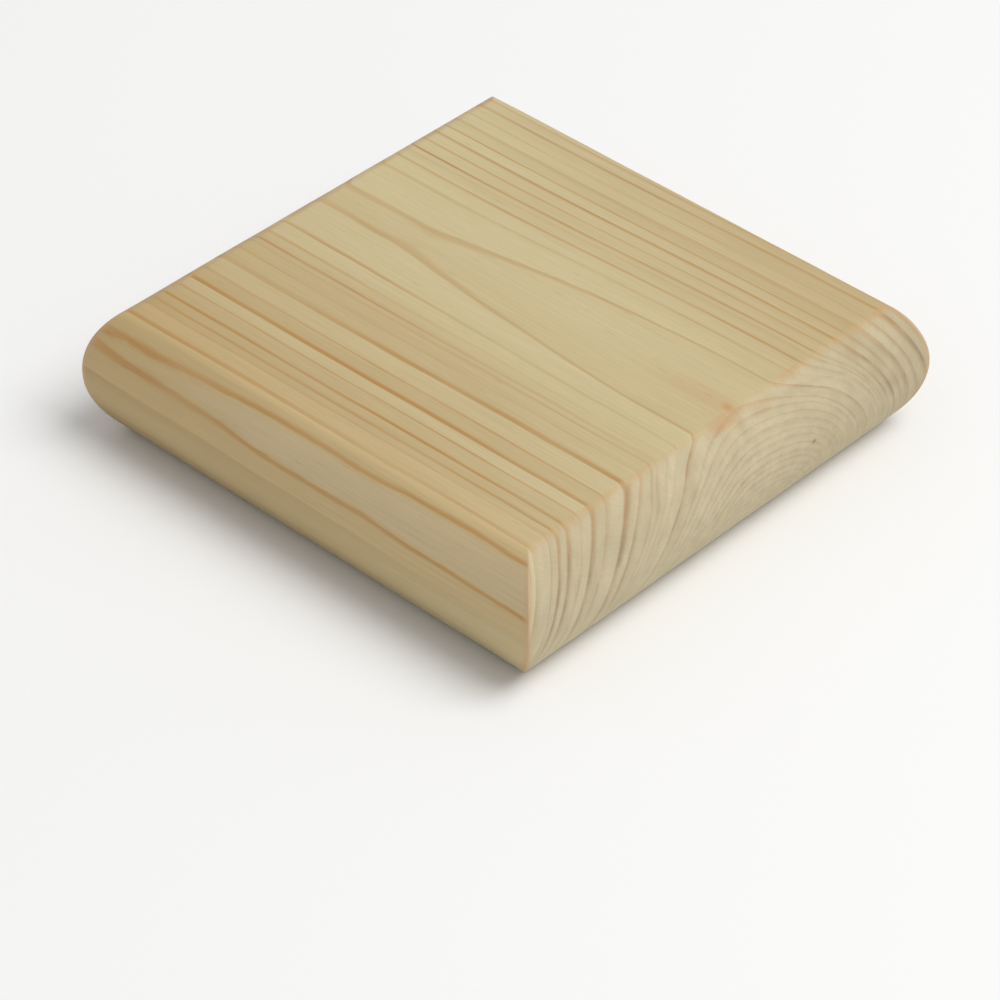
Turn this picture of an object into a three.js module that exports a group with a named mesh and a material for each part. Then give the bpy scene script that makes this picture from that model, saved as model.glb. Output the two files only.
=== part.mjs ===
// Fence post cap: a flat square board of planed softwood that sits on top of a square timber post.
// It is one piece of timber. All four edges are worked to the same shallow nose: a wide arc across the
// middle of the edge, with a small rounded arris where it meets the top and the underside. Neighbouring
// noses meet at the corners in a sharp mitre.
//
// Units are millimetres, +Z is up, and the origin is the centre of the flat underside. The grain of
// the timber runs along X, so the two X edges are end grain.

import * as THREE from 'three';

// Driving dimensions
const BOARD_WIDTH = 110; // square, measured across the widest part of the noses
const BOARD_THICKNESS = 27; // 32 mm sawn board, planed on both faces
const NOSE_RADIUS = 18; // wide arc across the middle of each edge
const ARRIS_RADIUS = 3.5; // small arc between the nose and each flat face

// Fineness of the two arcs
const NOSE_STEPS = 20;
const ARRIS_STEPS = 8;

const SIDES = 4;
const HALF_TURN_TO_SIDES = Math.PI / SIDES; // turns the square's corners onto its diagonals

// Points of an arc in the edge's cross-section, as (distance from the board's middle, height).
function arc(centreOut, centreUp, radius, startAngle, endAngle, steps) {
  return Array.from({ length: steps + 1 }, (_, step) => {
    const angle = startAngle + ((endAngle - startAngle) * step) / steps;
    return [centreOut + radius * Math.cos(angle), centreUp + radius * Math.sin(angle)];
  });
}

// Outline of the board's edge from the underside to the top. The nose is centred at mid height, and each
// arris arc is tangent both to the nose and to its flat face.
function edgeOutline() {
  const midHeight = BOARD_THICKNESS / 2;
  const noseCentre = BOARD_WIDTH / 2 - NOSE_RADIUS;
  const arrisRise = midHeight - ARRIS_RADIUS;
  const tangentAngle = Math.asin(arrisRise / (NOSE_RADIUS - ARRIS_RADIUS));
  const arrisCentre = noseCentre + (NOSE_RADIUS - ARRIS_RADIUS) * Math.cos(tangentAngle);

  const lowerArris = arc(arrisCentre, midHeight - arrisRise, ARRIS_RADIUS,
    -Math.PI / 2, -tangentAngle, ARRIS_STEPS);
  const nose = arc(noseCentre, midHeight, NOSE_RADIUS, -tangentAngle, tangentAngle, NOSE_STEPS);
  const upperArris = arc(arrisCentre, midHeight + arrisRise, ARRIS_RADIUS,
    tangentAngle, Math.PI / 2, ARRIS_STEPS);
  return [...lowerArris, ...nose.slice(1, -1), ...upperArris];
}

// The board is a turning with four sides. Each point of the outline becomes one square ring, whose
// corners stand further out than its sides by the square root of two, and this gives the mitres.
function capBoardGeometry() {
  const cornerReach = 1 / Math.cos(HALF_TURN_TO_SIDES);
  const rings = edgeOutline().map(([out, up]) => new THREE.Vector2(out * cornerReach, up));
  const profile = [new THREE.Vector2(0, 0), ...rings, new THREE.Vector2(0, BOARD_THICKNESS)];
  const geometry = new THREE.LatheGeometry(profile, SIDES, HALF_TURN_TO_SIDES);
  return geometry.rotateX(Math.PI / 2);
}

function capBoard() {
  const pine = new THREE.MeshStandardMaterial({ color: 0xc6b38a, roughness: 0.62, metalness: 0 });
  const board = new THREE.Mesh(capBoardGeometry(), pine);
  board.name = 'cap_board';
  return board;
}

const fencePostCap = new THREE.Group();
fencePostCap.add(capBoard());

export default fencePostCap;
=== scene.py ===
import math

import bpy
import numpy as np
from mathutils import Matrix, Vector


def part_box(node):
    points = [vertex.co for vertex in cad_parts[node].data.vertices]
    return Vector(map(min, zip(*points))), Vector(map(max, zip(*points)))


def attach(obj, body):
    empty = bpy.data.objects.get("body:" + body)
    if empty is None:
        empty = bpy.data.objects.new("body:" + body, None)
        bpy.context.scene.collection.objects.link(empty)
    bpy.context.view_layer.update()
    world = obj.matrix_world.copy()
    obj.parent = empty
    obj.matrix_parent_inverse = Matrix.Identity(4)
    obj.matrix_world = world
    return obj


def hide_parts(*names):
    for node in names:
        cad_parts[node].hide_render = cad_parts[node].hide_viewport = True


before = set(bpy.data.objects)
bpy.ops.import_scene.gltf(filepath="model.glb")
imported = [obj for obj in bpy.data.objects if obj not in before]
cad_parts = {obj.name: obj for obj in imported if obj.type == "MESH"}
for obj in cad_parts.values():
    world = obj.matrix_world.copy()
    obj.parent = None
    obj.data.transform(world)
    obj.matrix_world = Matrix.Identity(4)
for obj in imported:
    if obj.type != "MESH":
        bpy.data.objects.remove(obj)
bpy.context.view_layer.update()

# A flat, square fence post cap of planed pine, lying on a pale floor.
#
# Lengths in this script are in millimetres unless a name says otherwise; Blender's own are in metres.
# X runs along the grain, Y across it and Z up, with the origin under the middle of the cap.

MM = 0.001

# ---------------------------------------------------------------- the board's shape

LOW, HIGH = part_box("cap_board")
HALF_WIDTH = (HIGH.x - LOW.x) / 2 / MM
THICKNESS = (HIGH.z - LOW.z) / MM
NOSE_RADIUS = 18.0
ARRIS_RADIUS = 3.5
NOSE_STEPS = 50
ARRIS_STEPS = 7
CELLS_ACROSS = 160          # cells of the mesh from one corner to the next
CORNER_CELL_SHARE = 0.28    # width of the cell at a corner, as a share of the widest
CORNER_REACH = 0.035        # how far the narrow cells reach, as a share of half the width
MITRE_RADIUS = 0.45         # how far sanding has rounded the mitred corners
MITRE_WANDER = 0.15         # how far that radius varies, and over what length
MITRE_WANDER_LENGTH = 9.0
MITRE_SEED = 3
MITRE_BAND = 1.8            # width of the worn strip on each side of a mitre
SANDED_DEPTH = 0.04         # half the depth of the slow hollows that sanding leaves, and their length
SANDED_LENGTH = 17.0
SANDED_SEED = 11
WAVES = 9                   # how many waves make one slow pattern
WAVE_LENGTHS = 0.7, 1.5     # the shortest and the longest, as shares of the pattern's own length

# ---------------------------------------------------------------- the timber's growth rings

# Wide rings are those far from the pith, and narrow rings those near it.
PITH_Y, PITH_Z = 4.2, -5.92             # the tree's centre runs under the board, nearly along X
WIDE_FROM, WIDE_TO = 41.1, 48.1
WIDE_SHIFT = 1.67                       # the wide rings are centred this much nearer to -Y
RISE_FROM, RISE_TO = -33.0, 45.5        # the centre rises and drifts towards +Y between these places along X
WIDE_RISE, WIDE_DRIFT = 0.61, 0.84
NARROW_FROM, NARROW_TO = 37.3, 32.5
NARROW_RISE, NARROW_DRIFT = 2.28, 1.50
SKEW_DEPTH = 6.0                        # below the top face, the narrow rings lean out towards +Y
SKEW_FROM, SKEW_TO = 42.0, 35.0
SKEW_Z_FROM, SKEW_Z_TO = 27.0, 21.0
EDGE_FROM, EDGE_TO = 56.0, 59.5         # the outermost rings, at the -Y edge only, have their own centre
EDGE_PITH_Y, EDGE_PITH_Z = 4.95, -4.95
EDGE_TAPER = 0.003                      # their distance grows this much for each millimetre along X
EDGE_LIFT = 0.060                       # and this much for each millimetre above the level
EDGE_LEVEL = 19.6
EDGE_PINCH = 0.07                       # and it falls by this much near the -X end
PINCH_FROM, PINCH_TO = -25.0, -50.0
TWIG_BULGE = 0.45                       # the rings bulge over a buried twig near the -X end
TWIG_Y, TWIG_WIDTH = 4.3, 2.3
TWIG_FROM, TWIG_TO = -25.0, -34.0
HUMP = 0.15                             # and they have a broad, low hump further along
HUMP_X, HUMP_LENGTH = -9.0, 15.0
HUMP_Y, HUMP_WIDTH = 4.3, 10.0

INNER_RING_WIDTH = 1.42                 # the usual width of the rings inside the first ring below
INNER_RING_WANDER = 0.9                 # how far their places stray from even spacing
LATEWOOD_SHARE = 0.3                    # each ring is stretched so that its latewood is this share of it

# Each outer ring, from the pith outwards: where its growth ends and how thick its latewood is, how tan its
# earlywood is, and how dark its latewood is. That darkness is given for the long grain on the -Y side at the
# -X end and at the +X end, for the long grain on the +Y side, and for the end grain.
OUTER_RINGS = (
    (30.50, 0.40, 0.14, 0.30, 0.30, 0.30, 0.32),
    (33.12, 0.38, 0.20, 0.38, 0.42, 0.42, 0.70),
    (35.65, 0.45, 0.06, 0.65, 0.25, 0.30, 0.20),
    (37.40, 0.45, 0.12, 0.50, 0.12, 0.65, 0.25),
    (38.80, 0.50, 0.32, 0.80, 0.20, 0.10, 0.30),
    (39.60, 0.40, 0.40, 0.10, 0.30, 0.85, 0.35),
    (41.45, 0.45, 0.42, 0.15, 0.12, 0.45, 0.65),
    (43.80, 0.80, 0.40, 0.26, 0.90, 0.75, 0.80),
    (46.15, 0.45, 0.22, 0.45, 0.65, 0.85, 0.50),
    (48.90, 1.00, 0.50, 1.00, 1.00, 0.20, 0.95),
    (51.10, 0.45, 0.22, 0.75, 0.75, 0.30, 0.50),
    (54.00, 0.80, 0.50, 1.00, 0.95, 0.60, 0.90),
    (56.00, 0.70, 0.58, 0.65, 0.60, 0.40, 0.80),
    (58.10, 0.45, 0.62, 0.30, 0.20, 0.30, 0.40),
    (62.60, 0.90, 0.52, 0.64, 0.35, 0.30, 0.40),
    (63.70, 0.22, 0.10, 0.74, 0.78, 0.95, 0.50),
    (67.00, 0.45, 0.00, 0.50, 0.50, 0.50, 0.50),
)
RING_END, RING_LATEWOOD, RING_TAN, DARK_LEFT, DARK_RIGHT, DARK_FAR, DARK_END_GRAIN = range(7)
RINGS_IN_A_CURVE = 6                    # few enough that each curve keeps the thinnest latewood sharp


def smooth_ramp(value, start, end):
    t = np.clip((value - start) / (end - start), 0, 1)
    return t * t * (3 - 2 * t)


def ring_radius(points):
    """Which ring each point lies in, as a distance from the pith, and its bearing round the pith."""
    x, y, z = points.T
    distance = np.hypot(y - PITH_Y, z - PITH_Z)
    wide = smooth_ramp(distance, WIDE_FROM, WIDE_TO)
    narrow = smooth_ramp(distance, NARROW_FROM, NARROW_TO)
    along = smooth_ramp(x, RISE_FROM, RISE_TO)
    drift = NARROW_DRIFT + (WIDE_DRIFT - NARROW_DRIFT) * wide
    rise = WIDE_RISE + (NARROW_RISE - WIDE_RISE) * narrow
    out = y - PITH_Y + WIDE_SHIFT * wide - along * drift
    up = z - PITH_Z - along * rise
    radius = np.hypot(out, up)
    skew = SKEW_DEPTH * out * np.abs(out) * up / radius ** 3
    skew *= smooth_ramp(radius, SKEW_FROM, SKEW_TO) * smooth_ramp(z, SKEW_Z_FROM, SKEW_Z_TO)
    bulge = TWIG_BULGE * np.exp(-((y - TWIG_Y) / TWIG_WIDTH) ** 2) * smooth_ramp(x, TWIG_FROM, TWIG_TO)
    bulge += HUMP * np.exp(-((x - HUMP_X) / HUMP_LENGTH) ** 2 - ((y - HUMP_Y) / HUMP_WIDTH) ** 2)
    bulge *= up > 0
    edge = np.hypot(y - EDGE_PITH_Y, z - EDGE_PITH_Z) + EDGE_TAPER * x + EDGE_LIFT * (z - EDGE_LEVEL)
    edge -= EDGE_PINCH * smooth_ramp(x, PINCH_FROM, PINCH_TO)
    edge_share = smooth_ramp(radius, EDGE_FROM, EDGE_TO) * (out < 0)
    radius = (radius - skew - bulge) * (1 - edge_share) + edge * edge_share
    return radius, np.arctan2(out, up)


def growth_curve(start, end):
    """Years against the distance from the pith, from one outer ring to another, both scaled to 0 to 1."""
    inside, outside = OUTER_RINGS[start][RING_END], OUTER_RINGS[end][RING_END]
    points = [(0.0, 0.0)]
    for year in range(start + 1, end + 1):
        ring_end = OUTER_RINGS[year][RING_END]
        latewood_start = (ring_end - OUTER_RINGS[year][RING_LATEWOOD] - inside) / (outside - inside)
        points.append((latewood_start, (year - start - LATEWOOD_SHARE) / (end - start)))
        points.append(((ring_end - inside) / (outside - inside), (year - start) / (end - start)))
    return points


def ring_column(column):
    """One column of the outer rings' table against the year, for a curve from 0 to 1."""
    years = len(OUTER_RINGS) - 1
    return [(year / years, ring[column]) for year, ring in enumerate(OUTER_RINGS)]


# ---------------------------------------------------------------- the board's mesh


def edge_outline():
    """Points down the edge, from the top face to the underside: reach from the middle, height, tilt."""
    middle = THICKNESS / 2
    tangent = math.asin((middle - ARRIS_RADIUS) / (NOSE_RADIUS - ARRIS_RADIUS))
    nose_centre = HALF_WIDTH - NOSE_RADIUS
    arris_centre = nose_centre + (NOSE_RADIUS - ARRIS_RADIUS) * math.cos(tangent)
    arcs = (
        (arris_centre, THICKNESS - ARRIS_RADIUS, ARRIS_RADIUS, math.pi / 2, tangent, ARRIS_STEPS),
        (nose_centre, middle, NOSE_RADIUS, tangent, -tangent, NOSE_STEPS),
        (arris_centre, ARRIS_RADIUS, ARRIS_RADIUS, -tangent, -math.pi / 2, ARRIS_STEPS),
    )
    outline = []
    for centre, height, radius, start, end, steps in arcs:
        tilts = np.linspace(start, end, steps + 1)[1:]
        outline += [(centre + radius * math.cos(t), height + radius * math.sin(t), t) for t in tilts]
    return outline


def mesh_lines():
    """Places of the mesh's lines from one corner to the next, as shares of half the width."""
    share = np.linspace(0, 1, CELLS_ACROSS // 2 + 1)
    squeezed = share - (1 - CORNER_CELL_SHARE) * CORNER_REACH * (1 - np.exp(-share / CORNER_REACH))
    squeezed /= squeezed[-1]
    return np.concatenate([squeezed - 1, (1 - squeezed)[::-1][1:]])


def perimeter(lines):
    """The outline of a square with half width 1, once round anticlockwise from its -X -Y corner."""
    along = lines[:-1]
    one = np.ones_like(along)
    sides = ((along, -one), (one, along), (-along, one), (-one, -along))
    return np.concatenate([np.stack(side, 1) for side in sides])


def slow_waves(points, length, seed):
    """A smooth pattern of bumps of about that length, mostly from -1 to 1, the same for the same seed."""
    rng = np.random.default_rng(seed)
    total = np.zeros(len(points))
    for _ in range(WAVES):
        direction = rng.normal(size=3)
        direction /= np.linalg.norm(direction)
        pitch = length * rng.uniform(*WAVE_LENGTHS)
        total += np.sin(points @ direction * (2 * math.pi / pitch) + rng.uniform(0, 2 * math.pi))
    return total / math.sqrt(2 * WAVES)


def round_mitres(ring, reach, height, tilt):
    """Rounds the four corners of one ring of the mesh, less where the edge turns into a flat face."""
    points = np.column_stack([ring * reach, np.full(len(ring), height)])
    wander = MITRE_WANDER * slow_waves(points, MITRE_WANDER_LENGTH, MITRE_SEED)
    radius = (MITRE_RADIUS + wander) * math.cos(tilt)
    size = np.abs(points[:, :2])
    inside = reach - size.min(1)
    near = inside < radius
    turn = np.where(near, math.pi / 4 * (1 - inside / np.maximum(radius, 1e-9)), 0)
    major = np.where(near, reach - radius + radius * np.cos(turn), size.max(1))
    minor = np.where(near, reach - radius + radius * np.sin(turn), size.min(1))
    x_is_major = size[:, 0] >= size[:, 1]
    signs = np.sign(ring)
    points[:, 0] = signs[:, 0] * np.where(x_is_major, major, minor)
    points[:, 1] = signs[:, 1] * np.where(x_is_major, minor, major)
    return points


def board_points_and_faces():
    lines = mesh_lines()
    count = CELLS_ACROSS + 1
    outline = edge_outline()
    flat_reach = outline[-1][0]
    along, across = np.meshgrid(lines * flat_reach, lines * flat_reach, indexing="ij")
    grid = np.column_stack([along.ravel(), across.ravel()])
    number = np.arange(count * count).reshape(count, count)
    rim = np.concatenate([number[:-1, 0], number[-1, :-1], number[:0:-1, -1], number[0, :0:-1]])

    top = np.column_stack([grid, np.full(len(grid), THICKNESS)])
    rings = [round_mitres(perimeter(lines), *step) for step in outline[:-1]]
    underside = np.column_stack([grid, np.zeros(len(grid))])
    points = np.concatenate([top, *rings, underside])

    underside_start = len(points) - len(grid)
    ring_starts = len(top) + len(rim) * np.arange(len(rings))
    loops = [rim, *(start + np.arange(len(rim)) for start in ring_starts), underside_start + rim]
    cells = np.stack([number[:-1, :-1], number[1:, :-1], number[1:, 1:], number[:-1, 1:]], -1).reshape(-1, 4)
    faces = [cells, underside_start + cells[:, ::-1]]
    for upper, lower in zip(loops, loops[1:]):
        faces.append(np.stack([upper, lower, np.roll(lower, -1), np.roll(upper, -1)], 1))
    return points, np.concatenate(faces)


def add_attribute(mesh, name, values):
    attribute = mesh.attributes.new(name, "FLOAT", "POINT")
    attribute.data.foreach_set("value", values.astype(np.float32))


def vertex_normals(mesh):
    normals = np.zeros(len(mesh.vertices) * 3, np.float32)
    mesh.vertex_normals.foreach_get("vector", normals)
    return normals.reshape(-1, 3)


def make_board():
    points, faces = board_points_and_faces()
    mesh = bpy.data.meshes.new("planed_board")
    mesh.from_pydata((points * MM).tolist(), [], faces.tolist())
    mesh.update()

    normals = vertex_normals(mesh)
    sanded = SANDED_DEPTH * np.minimum(slow_waves(points, SANDED_LENGTH, SANDED_SEED) - 1, 0)
    lift = np.where(points[:, 2] > 0, sanded, 0)
    points = points + normals * lift[:, None]
    mesh.vertices.foreach_set("co", (points * MM).ravel().astype(np.float32))
    mesh.polygons.foreach_set("use_smooth", np.ones(len(faces), bool))

    radius, bearing = ring_radius(points)
    add_attribute(mesh, "from_pith", radius)
    add_attribute(mesh, "bearing", bearing)
    size = np.abs(points[:, :2])
    from_mitre = size.max(1) - size.min(1)
    on_the_edge = 1 - normals[:, 2] ** 2
    add_attribute(mesh, "mitre", np.clip(1 - from_mitre / MITRE_BAND, 0, 1) * on_the_edge)
    mesh.update()
    board = bpy.data.objects.new("planed_board", mesh)
    bpy.context.scene.collection.objects.link(board)
    return board


# ---------------------------------------------------------------- materials


class Nodes:
    """A material's nodes, made and joined with short calls. A value is a number, a colour or a socket."""

    def __init__(self, name):
        self.material = bpy.data.materials.new(name)
        self.material.use_nodes = True
        self.tree = self.material.node_tree
        self.shader = self.tree.nodes["Principled BSDF"]

    def plug(self, value, socket):
        if isinstance(value, bpy.types.NodeSocket):
            self.tree.links.new(value, socket)
        elif value is not None:
            socket.default_value = value

    def node(self, kind, settings=(), **values):
        made = self.tree.nodes.new("ShaderNode" + kind)
        for key, value in dict(settings).items():
            setattr(made, key, value)
        for key, value in values.items():
            self.plug(value, made.inputs[key.replace("_", " ")])
        return made

    def math(self, operation, *values, clamp=False):
        made = self.node("Math", {"operation": operation, "use_clamp": clamp})
        for value, socket in zip(values, made.inputs):
            self.plug(value, socket)
        return made.outputs[0]

    def stretch(self, vector, scale):
        made = self.node("VectorMath", {"operation": "MULTIPLY"})
        self.plug(vector, made.inputs[0])
        self.plug(scale, made.inputs[1])
        return made.outputs[0]

    def ramp(self, value, start, end, low=0.0, high=1.0):
        """Goes smoothly from low to high as value goes from start to end."""
        settings = {"interpolation_type": "SMOOTHSTEP"}
        made = self.node("MapRange", settings, Value=value)
        for socket, number in zip(made.inputs[1:5], (start, end, low, high)):
            socket.default_value = number
        return made.outputs["Result"]

    def noise(self, vector, detail=2.0, roughness=0.5, scale=1.0):
        made = self.node("TexNoise", Vector=vector, Scale=scale, Detail=detail, Roughness=roughness)
        return made.outputs["Fac"]

    def centred_noise(self, vector, amount, **settings):
        return self.math("MULTIPLY_ADD", self.noise(vector, **settings), 2 * amount, -amount)

    def mix(self, factor, first, second, blend="MIX"):
        made = self.node("Mix", {"data_type": "RGBA", "blend_type": blend})
        self.plug(factor, made.inputs[0])
        self.plug(first, made.inputs[6])
        self.plug(second, made.inputs[7])
        return made.outputs[2]

    def blend(self, factor, first, second):
        """A number that goes from first to second as factor goes from 0 to 1."""
        made = self.node("Mix", {"data_type": "FLOAT"})
        for value, socket in zip((factor, first, second), (made.inputs[0], made.inputs[2], made.inputs[3])):
            self.plug(value, socket)
        return made.outputs[0]

    def attribute(self, name):
        return self.node("Attribute", {"attribute_name": name}).outputs["Fac"]

    def curve(self, value, points):
        """Reads value off straight lines between points, which run from 0 to 1 across."""
        made = self.node("FloatCurve", Value=value)
        line = made.mapping.curves[0]
        line.points[0].location = points[0]
        line.points[-1].location = points[-1]
        for point in points[1:-1]:
            line.points.new(*point)
        for point in line.points:
            point.handle_type = "VECTOR"
        made.mapping.update()
        return made.outputs["Value"]


def srgb(red, green, blue):
    """A colour given as it looks on screen, from 0 to 255, in the linear values that shaders take."""
    def linear(channel):
        share = channel / 255
        return share / 12.92 if share <= 0.04045 else ((share + 0.055) / 1.055) ** 2.4
    return (*(linear(c) for c in (red, green, blue)), 1.0)


EARLYWOOD = srgb(201, 185, 143)
TAN_EARLYWOOD = srgb(180, 152, 104)
GOLDEN_WOOD = srgb(203, 173, 121)
PINK_WOOD = srgb(216, 176, 142)
LATEWOOD = srgb(177, 134, 77)
GOLDEN_LATEWOOD = srgb(196, 144, 80)
END_EARLYWOOD = srgb(198, 185, 152)
END_TAN_EARLYWOOD = srgb(180, 164, 130)
END_LATEWOOD = srgb(160, 138, 107)
END_LATEWOOD_HIGH = srgb(172, 137, 95)
ARRIS = srgb(190, 157, 112)
WORN = srgb(204, 172, 131)
WORN_LOW = srgb(184, 144, 94)
RESIN = srgb(140, 98, 52)
RESIN_SPOT = srgb(190, 142, 90)
PIN_KNOT = srgb(118, 106, 78)

# Each place below has a size and a strength too.
PIN_KNOTS = (((54.6, 21.3, 14.3), (2.0, 0.95, 0.65), 0.8),)
RESIN_SPOTS = (
    ((43.0, 4.8, 27.0), (17.0, 4.2, 4.0), 0.24),
    ((47.6, 5.0, 27.0), (2.2, 1.4, 1.0), 0.70),
    ((49.7, 1.0, 26.0), (1.6, 6.0, 1.6), 0.50),
    ((50.5, 11.5, 25.6), (2.5, 5.0, 2.5), 0.22),
    ((54.2, 26.3, 11.0), (2.0, 0.7, 1.6), 0.45),
)
TAN_PATCHES = (
    ((54.0, -33.0, 23.5), (8.0, 20.0, 9.0), 0.40),
    ((51.0, -9.0, 25.0), (5.0, 4.5, 4.5), 0.35),
    ((53.4, -12.5, 20.8), (5.0, 5.0, 5.0), 0.50),
    ((54.8, -17.0, 16.0), (5.0, 4.5, 4.5), 0.30),
    ((51.0, 35.5, 25.0), (5.0, 4.5, 4.5), 0.50),
    ((53.4, 40.0, 20.8), (5.0, 4.5, 4.5), 0.55),
    ((54.8, 44.5, 16.0), (5.0, 4.5, 4.5), 0.45),
    ((51.0, 4.8, 25.0), (4.0, 1.8, 3.0), 0.45),
)

# How much each noise below squeezes X, Y and Z. The rings' waves, from the longest to the shortest, also have
# how far they move the rings.
RING_WAVES = (
    ((0.022, 0.09, 0.09), 0.045),
    ((0.20, 1.4, 1.4), 0.03),
    ((0.25, 6.0, 6.0), 0.04),
)
FIBRES = (0.07, 3.2, 3.2)
PORES = (1.0, 5.0, 5.0)
BROAD_PATCHES = (0.012, 0.06, 0.06)
ARRIS_PATCHES = (0.1, 0.13, 0.1)
RESIN_CANALS = (0.11, 1.3, 1.3)
RESIN_AREAS = (0.05, 0.4, 0.4)

# How much each noise that follows the rings squeezes the bearing round the pith and the distance from it.
RAYS = (120.0, 0.15)
MOTTLE = (7.0, 0.40)
INNER_WANDER = 0.45                     # this one follows the distance alone

# How much the noise that fades each ring changes along X, and from one ring to the next.
FADE_ALONG, FADE_FROM_RING_TO_RING = 0.035, 5.3

# Each ramp below has a start, an end and, where it doesn't go from 0 to 1, its first and last value.
#
# By how squarely the surface faces along X:
CUT_ACROSS = (0.20, 0.60)
ON_ARRIS_RISE = (0.0, 0.25)
ON_ARRIS_FALL = (0.25, 0.85, 1.0, 0.0)
# By the bearing round the pith, where the far side is the +Y one:
FAR_SIDE = (-0.1, 0.1)
# By the distance past the first outer ring:
INNER_WANDER_FALL = (-2.5, -0.2, 1.0, 0.0)
# By the part of the year, for the start and the stop of latewood on long grain and on end grain:
LONG_LATE = (1 - LATEWOOD_SHARE, 0.88)
LONG_STOP = (0.95, 1.0, 1.0, 0.0)
END_LATE = (0.40, 0.90)
END_STOP = (0.88, 1.0, 1.0, 0.0)
PINK_SEASON = (0.0, 0.03)
# By the year's share of all the years:
GOLDEN_YEARS = (0.83, 0.95)
LAST_YEAR = (0.95, 0.99)
# By how fully a point is in the last year:
GOLDEN_FALL = (0.0, 1.0, 0.62, 0.0)
# By the place along X:
LEFT_TO_RIGHT = (-38.0, 15.0)
# By height:
LONG_DARK = (14.0, 17.0, 0.12, 1.0)
END_DARK = (8.0, 16.0, 0.4, 1.0)
LESS_TAN_LOW = (12.0, 17.0, 0.7, 1.0)
# painted shade: the long grain darkens towards the floor, standing in for the floor's contact shadow
PAINTED_SHADE_LOW = (3.0, 10.5, 0.80, 1.0)
BROWNER_HIGH = (19.5, 25.5)
WORN_LOW_TO_HIGH = (4.0, 12.0)
# By nearness to a mitre:
WORN_MITRE = (0.0, 0.9, 0.0, 0.7)
# By a noise:
RING_FADE = (0.3, 0.7, 0.65, 1.15)
MOTTLED_DARK = (0.35, 0.62, 0.62, 1.10)
MOTTLED_SHADE = (0.30, 0.70, 1.05, 0.94)
TEXTURE_SHADE = (0.25, 0.75, 0.94, 1.05)
ARRIS_COLOUR = (0.4, 0.65, 0.18, 0.62)
CANAL_AREA = (0.5, 0.62)
# By the distance from the middle of a resin canal:
CANAL_DASH = (0.05, 0.17, 1.0, 0.0)

# The strength of what is added or mixed in.
WARM_CORNERS = 0.28 / 47.5 ** 2         # tan for each square millimetre of X times Y
TAN_DRIFT = 0.3
TAN_BY_SEASON = 0.14
FAR_TAN = 0.5                           # the rings' own tan is this much as strong on the +Y side
PINK_STRENGTH = 0.22
CANAL_STRENGTH = 0.25
ARRIS_LATEWOOD = 0.55
BUMP_TEXTURE, BUMP_LATEWOOD = 0.8, 0.12
BUMP_STRENGTH, BUMP_HEIGHT_M = 0.35, 0.00003
ROUGHNESS = 0.50
ROUGHER_TEXTURE, ROUGHER_END_GRAIN, SMOOTHER_LATEWOOD = 0.16, 0.16, -0.08
SPECULAR = 0.35


def spot(n, place, centre, size):
    """1 at the centre of a soft-edged spot, falling to 0 at its rim."""
    offset = n.node("VectorMath", {"operation": "SUBTRACT"})
    n.plug(place, offset.inputs[0])
    n.plug(centre, offset.inputs[1])
    scaled = n.stretch(offset.outputs[0], tuple(1 / length for length in size))
    distance = n.node("VectorMath", {"operation": "LENGTH"})
    n.plug(scaled, distance.inputs[0])
    return n.ramp(distance.outputs["Value"], 0.0, 1.0, 1.0, 0.0)


def noise_round_pith(n, by_bearing, by_distance):
    """A noise that follows the rings: it changes with the bearing round the pith and the distance from it."""
    across = n.math("MULTIPLY", n.attribute("bearing"), by_bearing)
    outwards = n.math("MULTIPLY", n.attribute("from_pith"), by_distance)
    return n.noise(n.node("CombineXYZ", X=across, Y=outwards).outputs["Vector"], detail=3.0, roughness=0.6)


def ring_pattern(n, place):
    """The year that each point grew in, and how far through that year, with the rings a little wavy."""
    radius = n.attribute("from_pith")
    for squeeze, depth in RING_WAVES:
        radius = n.math("ADD", radius, n.centred_noise(n.stretch(place, squeeze), depth))
    past_first = n.math("SUBTRACT", radius, OUTER_RINGS[0][RING_END])
    uneven = n.node("CombineXYZ", X=n.math("MULTIPLY", past_first, INNER_WANDER)).outputs["Vector"]
    uneven = n.centred_noise(uneven, INNER_RING_WANDER, detail=1.0)
    past_first = n.math("MULTIPLY_ADD", uneven, n.ramp(past_first, *INNER_WANDER_FALL), past_first)
    years = n.math("DIVIDE", n.math("MINIMUM", past_first, 0.0), INNER_RING_WIDTH)
    last = len(OUTER_RINGS) - 1
    for start in range(0, last, RINGS_IN_A_CURVE):
        end = min(start + RINGS_IN_A_CURVE, last)
        inside, outside = OUTER_RINGS[start][RING_END], OUTER_RINGS[end][RING_END]
        share = n.math("DIVIDE", n.math("SUBTRACT", radius, inside), outside - inside, clamp=True)
        years = n.math("MULTIPLY_ADD", n.curve(share, growth_curve(start, end)), end - start, years)
    return n.math("FLOOR", years), n.math("FRACT", years)


def ring_darkness(n, along, height, side, end_grain, year, year_share):
    """How dark each point's latewood is: it changes from ring to ring, along the grain and with height."""
    left = n.curve(year_share, ring_column(DARK_LEFT))
    right = n.curve(year_share, ring_column(DARK_RIGHT))
    near = n.blend(n.ramp(along, *LEFT_TO_RIGHT), left, right)
    long_grain = n.blend(side, near, n.curve(year_share, ring_column(DARK_FAR)))
    long_grain = n.math("MULTIPLY", long_grain, n.ramp(height, *LONG_DARK))
    cut_across = n.curve(year_share, ring_column(DARK_END_GRAIN))
    cut_across = n.math("MULTIPLY", cut_across, n.ramp(height, *END_DARK))
    darkness = n.blend(end_grain, long_grain, cut_across)
    own_x = n.math("MULTIPLY", along, FADE_ALONG)
    own_y = n.math("MULTIPLY", year, FADE_FROM_RING_TO_RING)
    own_place = n.node("CombineXYZ", X=own_x, Y=own_y, Z=side).outputs["Vector"]
    return n.math("MULTIPLY", darkness, n.ramp(n.noise(own_place, detail=1.0), *RING_FADE))


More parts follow.
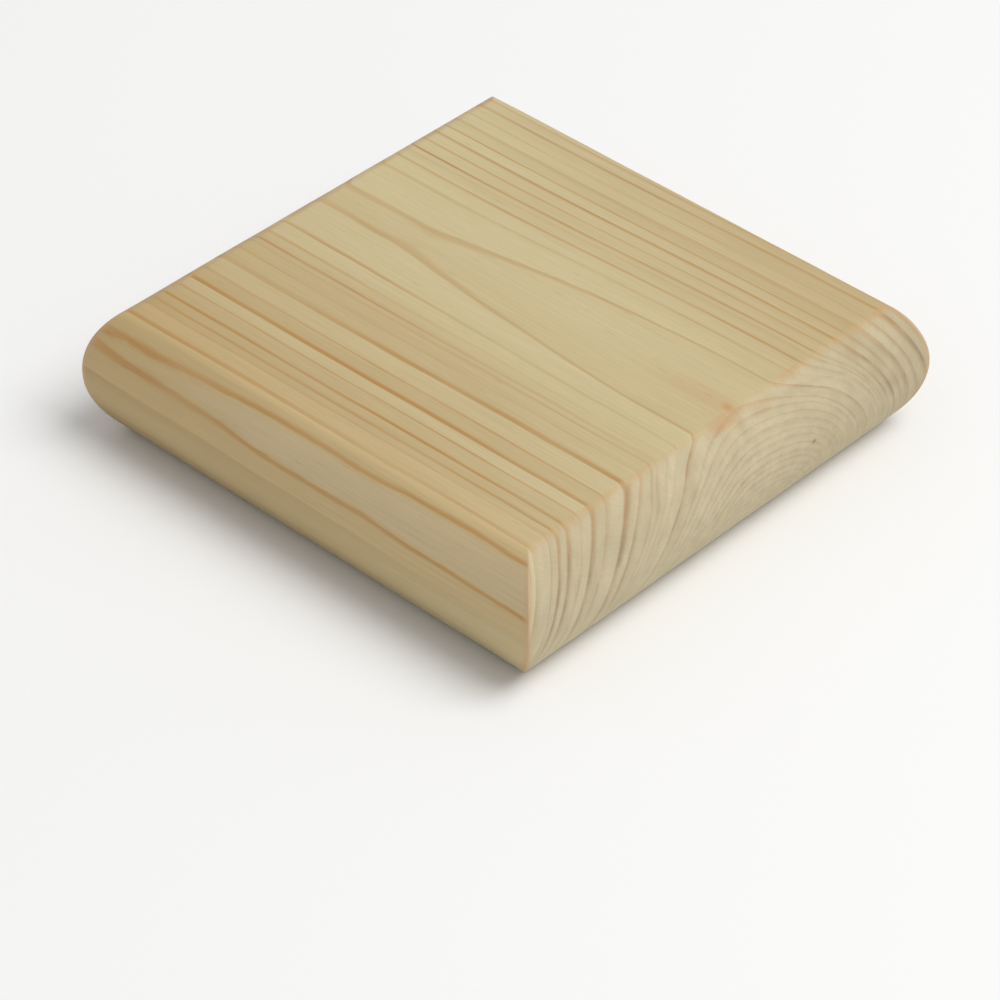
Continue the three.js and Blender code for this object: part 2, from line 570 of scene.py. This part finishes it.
def latewood_amount(n, season, darkness, end_grain):
    """A year's latewood darkens towards the year's end and stops sharply, or more softly on the end grain."""
    late = n.blend(end_grain, n.ramp(season, *LONG_LATE), n.ramp(season, *END_LATE))
    stop = n.blend(end_grain, n.ramp(season, *LONG_STOP), n.ramp(season, *END_STOP))
    return n.math("MULTIPLY", n.math("MULTIPLY", late, stop), darkness, clamp=True)


def tan_amount(n, place, x, y, height, side, season, year_share):
    """Earlywood has its own tone each year, darkens a little through the year and drifts in broad patches."""
    tan = n.math("MULTIPLY", n.curve(year_share, ring_column(RING_TAN)), n.blend(side, 1.0, FAR_TAN))
    tan = n.math("MULTIPLY", tan, n.ramp(height, *LESS_TAN_LOW))
    tan = n.math("MULTIPLY_ADD", n.math("MULTIPLY", season, season), TAN_BY_SEASON, tan)
    for centre, size, strength in TAN_PATCHES:
        tan = n.math("MULTIPLY_ADD", spot(n, place, centre, size), strength, tan)
    tan = n.math("MULTIPLY_ADD", n.math("MULTIPLY", x, y), WARM_CORNERS, tan)
    return n.math("ADD", tan, n.centred_noise(n.stretch(place, BROAD_PATCHES), TAN_DRIFT), clamp=True)


def wood_colour(n, tan, season, year_share, latewood, height, end_grain):
    """Earlywood, golden just before the last year and pinkish in it, with latewood over it."""
    in_last_year = n.math("MULTIPLY", n.ramp(year_share, *LAST_YEAR), n.ramp(season, *PINK_SEASON))
    golden = n.math("MULTIPLY", n.ramp(year_share, *GOLDEN_YEARS), n.ramp(in_last_year, *GOLDEN_FALL))
    early = n.mix(golden, n.mix(tan, EARLYWOOD, TAN_EARLYWOOD), GOLDEN_WOOD)
    early = n.mix(n.math("MULTIPLY", in_last_year, PINK_STRENGTH), early, PINK_WOOD)
    long_grain = n.mix(latewood, early, n.mix(golden, LATEWOOD, GOLDEN_LATEWOOD))
    end_latewood = n.mix(n.ramp(height, *BROWNER_HIGH), END_LATEWOOD, END_LATEWOOD_HIGH)
    end_face = n.mix(latewood, n.mix(tan, END_EARLYWOOD, END_TAN_EARLYWOOD), end_latewood)
    return n.mix(end_grain, long_grain, end_face)


def warm_arris(n, place, facing, latewood, colour):
    """The arris above and below the end grain is polished warmer, most of all where latewood meets it."""
    on_arris = n.math("MULTIPLY", n.ramp(facing, *ON_ARRIS_RISE), n.ramp(facing, *ON_ARRIS_FALL))
    patches = n.ramp(n.noise(n.stretch(place, ARRIS_PATCHES)), *ARRIS_COLOUR)
    patches = n.math("MULTIPLY_ADD", latewood, ARRIS_LATEWOOD, patches)
    return n.mix(n.math("MULTIPLY", on_arris, patches, clamp=True), colour, ARRIS)


def grain_texture(n, place, end_grain):
    """Fibres run along X. On the end grain they are cut across, and fine rays and pores show instead."""
    fibres = n.noise(n.stretch(place, FIBRES), detail=4.0, roughness=0.6)
    pores = n.noise(n.stretch(place, PORES), detail=3.0, roughness=0.6)
    return n.blend(end_grain, fibres, n.blend(0.5, noise_round_pith(n, *RAYS), pores))


def shaded(n, colour, texture, mottle, height, end_grain):
    """Texture and, on the end grain, mottling vary how light the colour is. Long grain gets painted shade low
    down, darker towards the floor.
    """
    # the long grain's ramp by height is painted shade, darker towards the floor
    shade = n.blend(end_grain, n.ramp(height, *PAINTED_SHADE_LOW), n.ramp(mottle, *MOTTLED_SHADE))
    shade = n.math("MULTIPLY", n.ramp(texture, *TEXTURE_SHADE), shade)
    shade = n.node("CombineColor", Red=shade, Green=shade, Blue=shade).outputs["Color"]
    return n.mix(1.0, colour, shade, "MULTIPLY")


def resin_canals(n, place, colour):
    """Short, thin, darker dashes along the fibres, in some areas only."""
    canals = n.node("TexVoronoi", {"feature": "F1"}, Vector=n.stretch(place, RESIN_CANALS), Scale=1.0)
    dash = n.ramp(canals.outputs["Distance"], *CANAL_DASH)
    area = n.ramp(n.noise(n.stretch(place, RESIN_AREAS), detail=1.0), *CANAL_AREA)
    return n.mix(n.math("MULTIPLY", n.math("MULTIPLY", dash, area), CANAL_STRENGTH), colour, RESIN)


def marks(n, place, colour):
    """A few resin spots, and a pin knot."""
    for spots, mark in ((RESIN_SPOTS, RESIN_SPOT), (PIN_KNOTS, PIN_KNOT)):
        for centre, size, strength in spots:
            colour = n.mix(n.math("MULTIPLY", spot(n, place, centre, size), strength), colour, mark)
    return colour


def worn_mitres(n, height, colour):
    """The mitres are worn paler high up, and browner low down."""
    worn = n.mix(n.ramp(height, *WORN_LOW_TO_HIGH), WORN_LOW, WORN)
    return n.mix(n.ramp(n.attribute("mitre"), *WORN_MITRE), colour, worn)


def pine():
    n = Nodes("planed_pine")
    place = n.stretch(n.node("TexCoord").outputs["Object"], (1 / MM,) * 3)
    x, y, height = n.node("SeparateXYZ", Vector=place).outputs
    normal = n.node("TexCoord").outputs["Normal"]
    facing = n.math("ABSOLUTE", n.node("SeparateXYZ", Vector=normal).outputs["X"])
    end_grain = n.ramp(facing, *CUT_ACROSS)
    side = n.ramp(n.attribute("bearing"), *FAR_SIDE)

    year, season = ring_pattern(n, place)
    year_share = n.math("DIVIDE", n.math("ADD", year, 1.0), len(OUTER_RINGS) - 1, clamp=True)
    mottle = noise_round_pith(n, *MOTTLE)
    darkness = ring_darkness(n, x, height, side, end_grain, year, year_share)
    darkness = n.math("MULTIPLY", darkness, n.blend(end_grain, 1.0, n.ramp(mottle, *MOTTLED_DARK)))
    latewood = latewood_amount(n, season, darkness, end_grain)
    tan = tan_amount(n, place, x, y, height, side, season, year_share)
    texture = grain_texture(n, place, end_grain)

    colour = wood_colour(n, tan, season, year_share, latewood, height, end_grain)
    colour = warm_arris(n, place, facing, latewood, colour)
    colour = shaded(n, colour, texture, mottle, height, end_grain)
    colour = resin_canals(n, place, colour)
    colour = marks(n, place, colour)
    colour = worn_mitres(n, height, colour)
    n.plug(colour, n.shader.inputs["Base Color"])

    relief = n.math("MULTIPLY", latewood, BUMP_LATEWOOD)
    relief = n.math("MULTIPLY_ADD", texture, BUMP_TEXTURE, relief)
    bump = n.node("Bump", Height=relief, Strength=BUMP_STRENGTH, Distance=BUMP_HEIGHT_M)
    n.plug(bump.outputs["Normal"], n.shader.inputs["Normal"])

    rough = n.math("MULTIPLY_ADD", texture, ROUGHER_TEXTURE, ROUGHNESS)
    rough = n.math("MULTIPLY_ADD", end_grain, ROUGHER_END_GRAIN, rough)
    rough = n.math("MULTIPLY_ADD", latewood, SMOOTHER_LATEWOOD, rough)
    n.plug(rough, n.shader.inputs["Roughness"])
    n.shader.inputs["Specular IOR Level"].default_value = SPECULAR
    return n.material


FLOOR_COLOUR = (0.90, 0.90, 0.895, 1)
FLOOR_ROUGHNESS = 0.9
FLOOR_SPECULAR = 0.1


def pale_floor():
    n = Nodes("pale_floor")
    n.shader.inputs["Base Color"].default_value = FLOOR_COLOUR
    n.shader.inputs["Roughness"].default_value = FLOOR_ROUGHNESS
    n.shader.inputs["Specular IOR Level"].default_value = FLOOR_SPECULAR
    return n.material


# ---------------------------------------------------------------- camera, floor and light

CAMERA_AZIMUTH = 41.352     # degrees, from -Y towards +X
CAMERA_ELEVATION = 38.704
CAMERA_ROLL = 1.794
CAMERA_DISTANCE = 807.2
CAMERA_LENS = 157.3
CAMERA_SENSOR = 36.0
CAMERA_NEAREST_M = 0.01
FRAME_RIGHT, FRAME_UP = 1.02, 13.78     # how far the cap's origin is from the middle of the frame
FLOOR_SIZE_M = 12.0
SKY = 0.50
KEY_DIRECTION = (0.415, 0.24, 0.88)
KEY_DISTANCE_M = 2.0
KEY_SIZE_M = 1.3
KEY_WATTS = 27.5


def add_camera():
    azimuth, elevation, roll = (math.radians(a) for a in (CAMERA_AZIMUTH, CAMERA_ELEVATION, CAMERA_ROLL))
    back = Vector((math.sin(azimuth) * math.cos(elevation), -math.cos(azimuth) * math.cos(elevation),
                   math.sin(elevation)))
    level_right = Vector((math.cos(azimuth), math.sin(azimuth), 0))
    level_up = back.cross(level_right)
    right = math.cos(roll) * level_right + math.sin(roll) * level_up
    up = math.cos(roll) * level_up - math.sin(roll) * level_right
    place = (CAMERA_DISTANCE * back - FRAME_RIGHT * right - FRAME_UP * up) * MM
    data = bpy.data.cameras.new("camera")
    data.lens = CAMERA_LENS
    data.sensor_width = CAMERA_SENSOR
    data.clip_start = CAMERA_NEAREST_M
    camera = bpy.data.objects.new("camera", data)
    camera.matrix_world = Matrix.Translation(place) @ Matrix((right, up, back)).transposed().to_4x4()
    bpy.context.scene.collection.objects.link(camera)
    bpy.context.scene.camera = camera


def add_floor():
    half = FLOOR_SIZE_M / 2
    mesh = bpy.data.meshes.new("floor")
    corners = [(-half, -half, 0), (half, -half, 0), (half, half, 0), (-half, half, 0)]
    mesh.from_pydata(corners, [], [(0, 1, 2, 3)])
    floor = bpy.data.objects.new("floor", mesh)
    mesh.materials.append(pale_floor())
    bpy.context.scene.collection.objects.link(floor)


def add_light():
    world = bpy.data.worlds.new("studio")
    world.use_nodes = True
    sky = world.node_tree.nodes["Background"]
    sky.inputs["Color"].default_value = (1, 1, 1, 1)
    sky.inputs["Strength"].default_value = SKY
    bpy.context.scene.world = world
    data = bpy.data.lights.new("key", "AREA")
    data.energy = KEY_WATTS
    data.size = KEY_SIZE_M
    key = bpy.data.objects.new("key", data)
    direction = Vector(KEY_DIRECTION).normalized()
    key.location = direction * KEY_DISTANCE_M
    key.rotation_euler = direction.to_track_quat("Z", "Y").to_euler()
    bpy.context.scene.collection.objects.link(key)


bpy.context.scene.view_settings.view_transform = "Standard"
add_camera()
add_floor()
add_light()

board = make_board()
board.data.materials.append(pine())
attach(board, "root")
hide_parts("cap_board")

bpy.context.view_layer.update()
